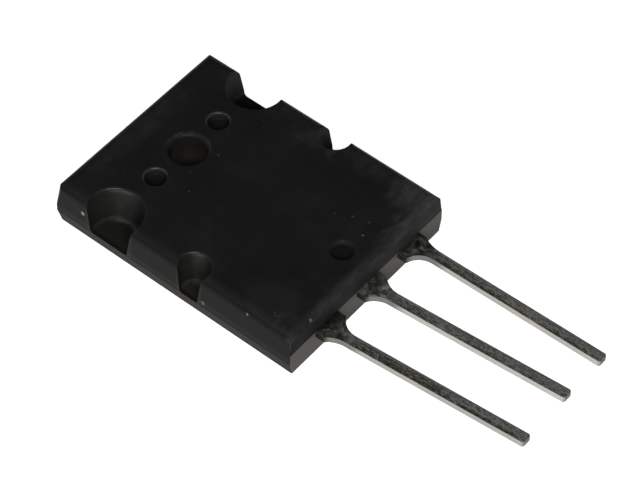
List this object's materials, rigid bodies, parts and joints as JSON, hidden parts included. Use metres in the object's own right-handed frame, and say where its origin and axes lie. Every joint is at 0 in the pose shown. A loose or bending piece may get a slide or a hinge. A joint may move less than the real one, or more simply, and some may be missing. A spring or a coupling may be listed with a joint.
{
  "type": "power transistor",
  "caption": "Power transistor in a large flat moulded package with a screw hole, a bare metal back and a row of long straight leads.",
  "frame": {"origin": "axis of the mounting hole, on the plane of the bare metal back", "axes": "+X across the package from base lead to emitter lead, +Y towards the end with the mounting hole, leads point to -Y, +Z out of the front face"},
  "size_m": [0.0204, 0.0462, 0.0048],
  "materials": {
    "mould_compound": "matt black epoxy moulding compound, fine grain",
    "plated_copper": "dull nickel plate over copper",
    "tinned_lead": "tin plate over copper, streaked and slightly tarnished",
    "solder": "dull solder",
    "silicon": "polished silicon with aluminium pads",
    "bond_aluminium": "drawn aluminium wire"
  },
  "bodies": {
    "root": {"moulded_body": "mould_compound", "heat_sink_plate": "plated_copper", "base_lead": "tinned_lead", "collector_lead": "tinned_lead", "emitter_lead": "tinned_lead", "die_attach_solder": "solder", "silicon_die": "silicon", "base_bond_wire": "bond_aluminium", "emitter_bond_wire_1": "bond_aluminium", "emitter_bond_wire_2": "bond_aluminium"}
  },
  "joints": []
}
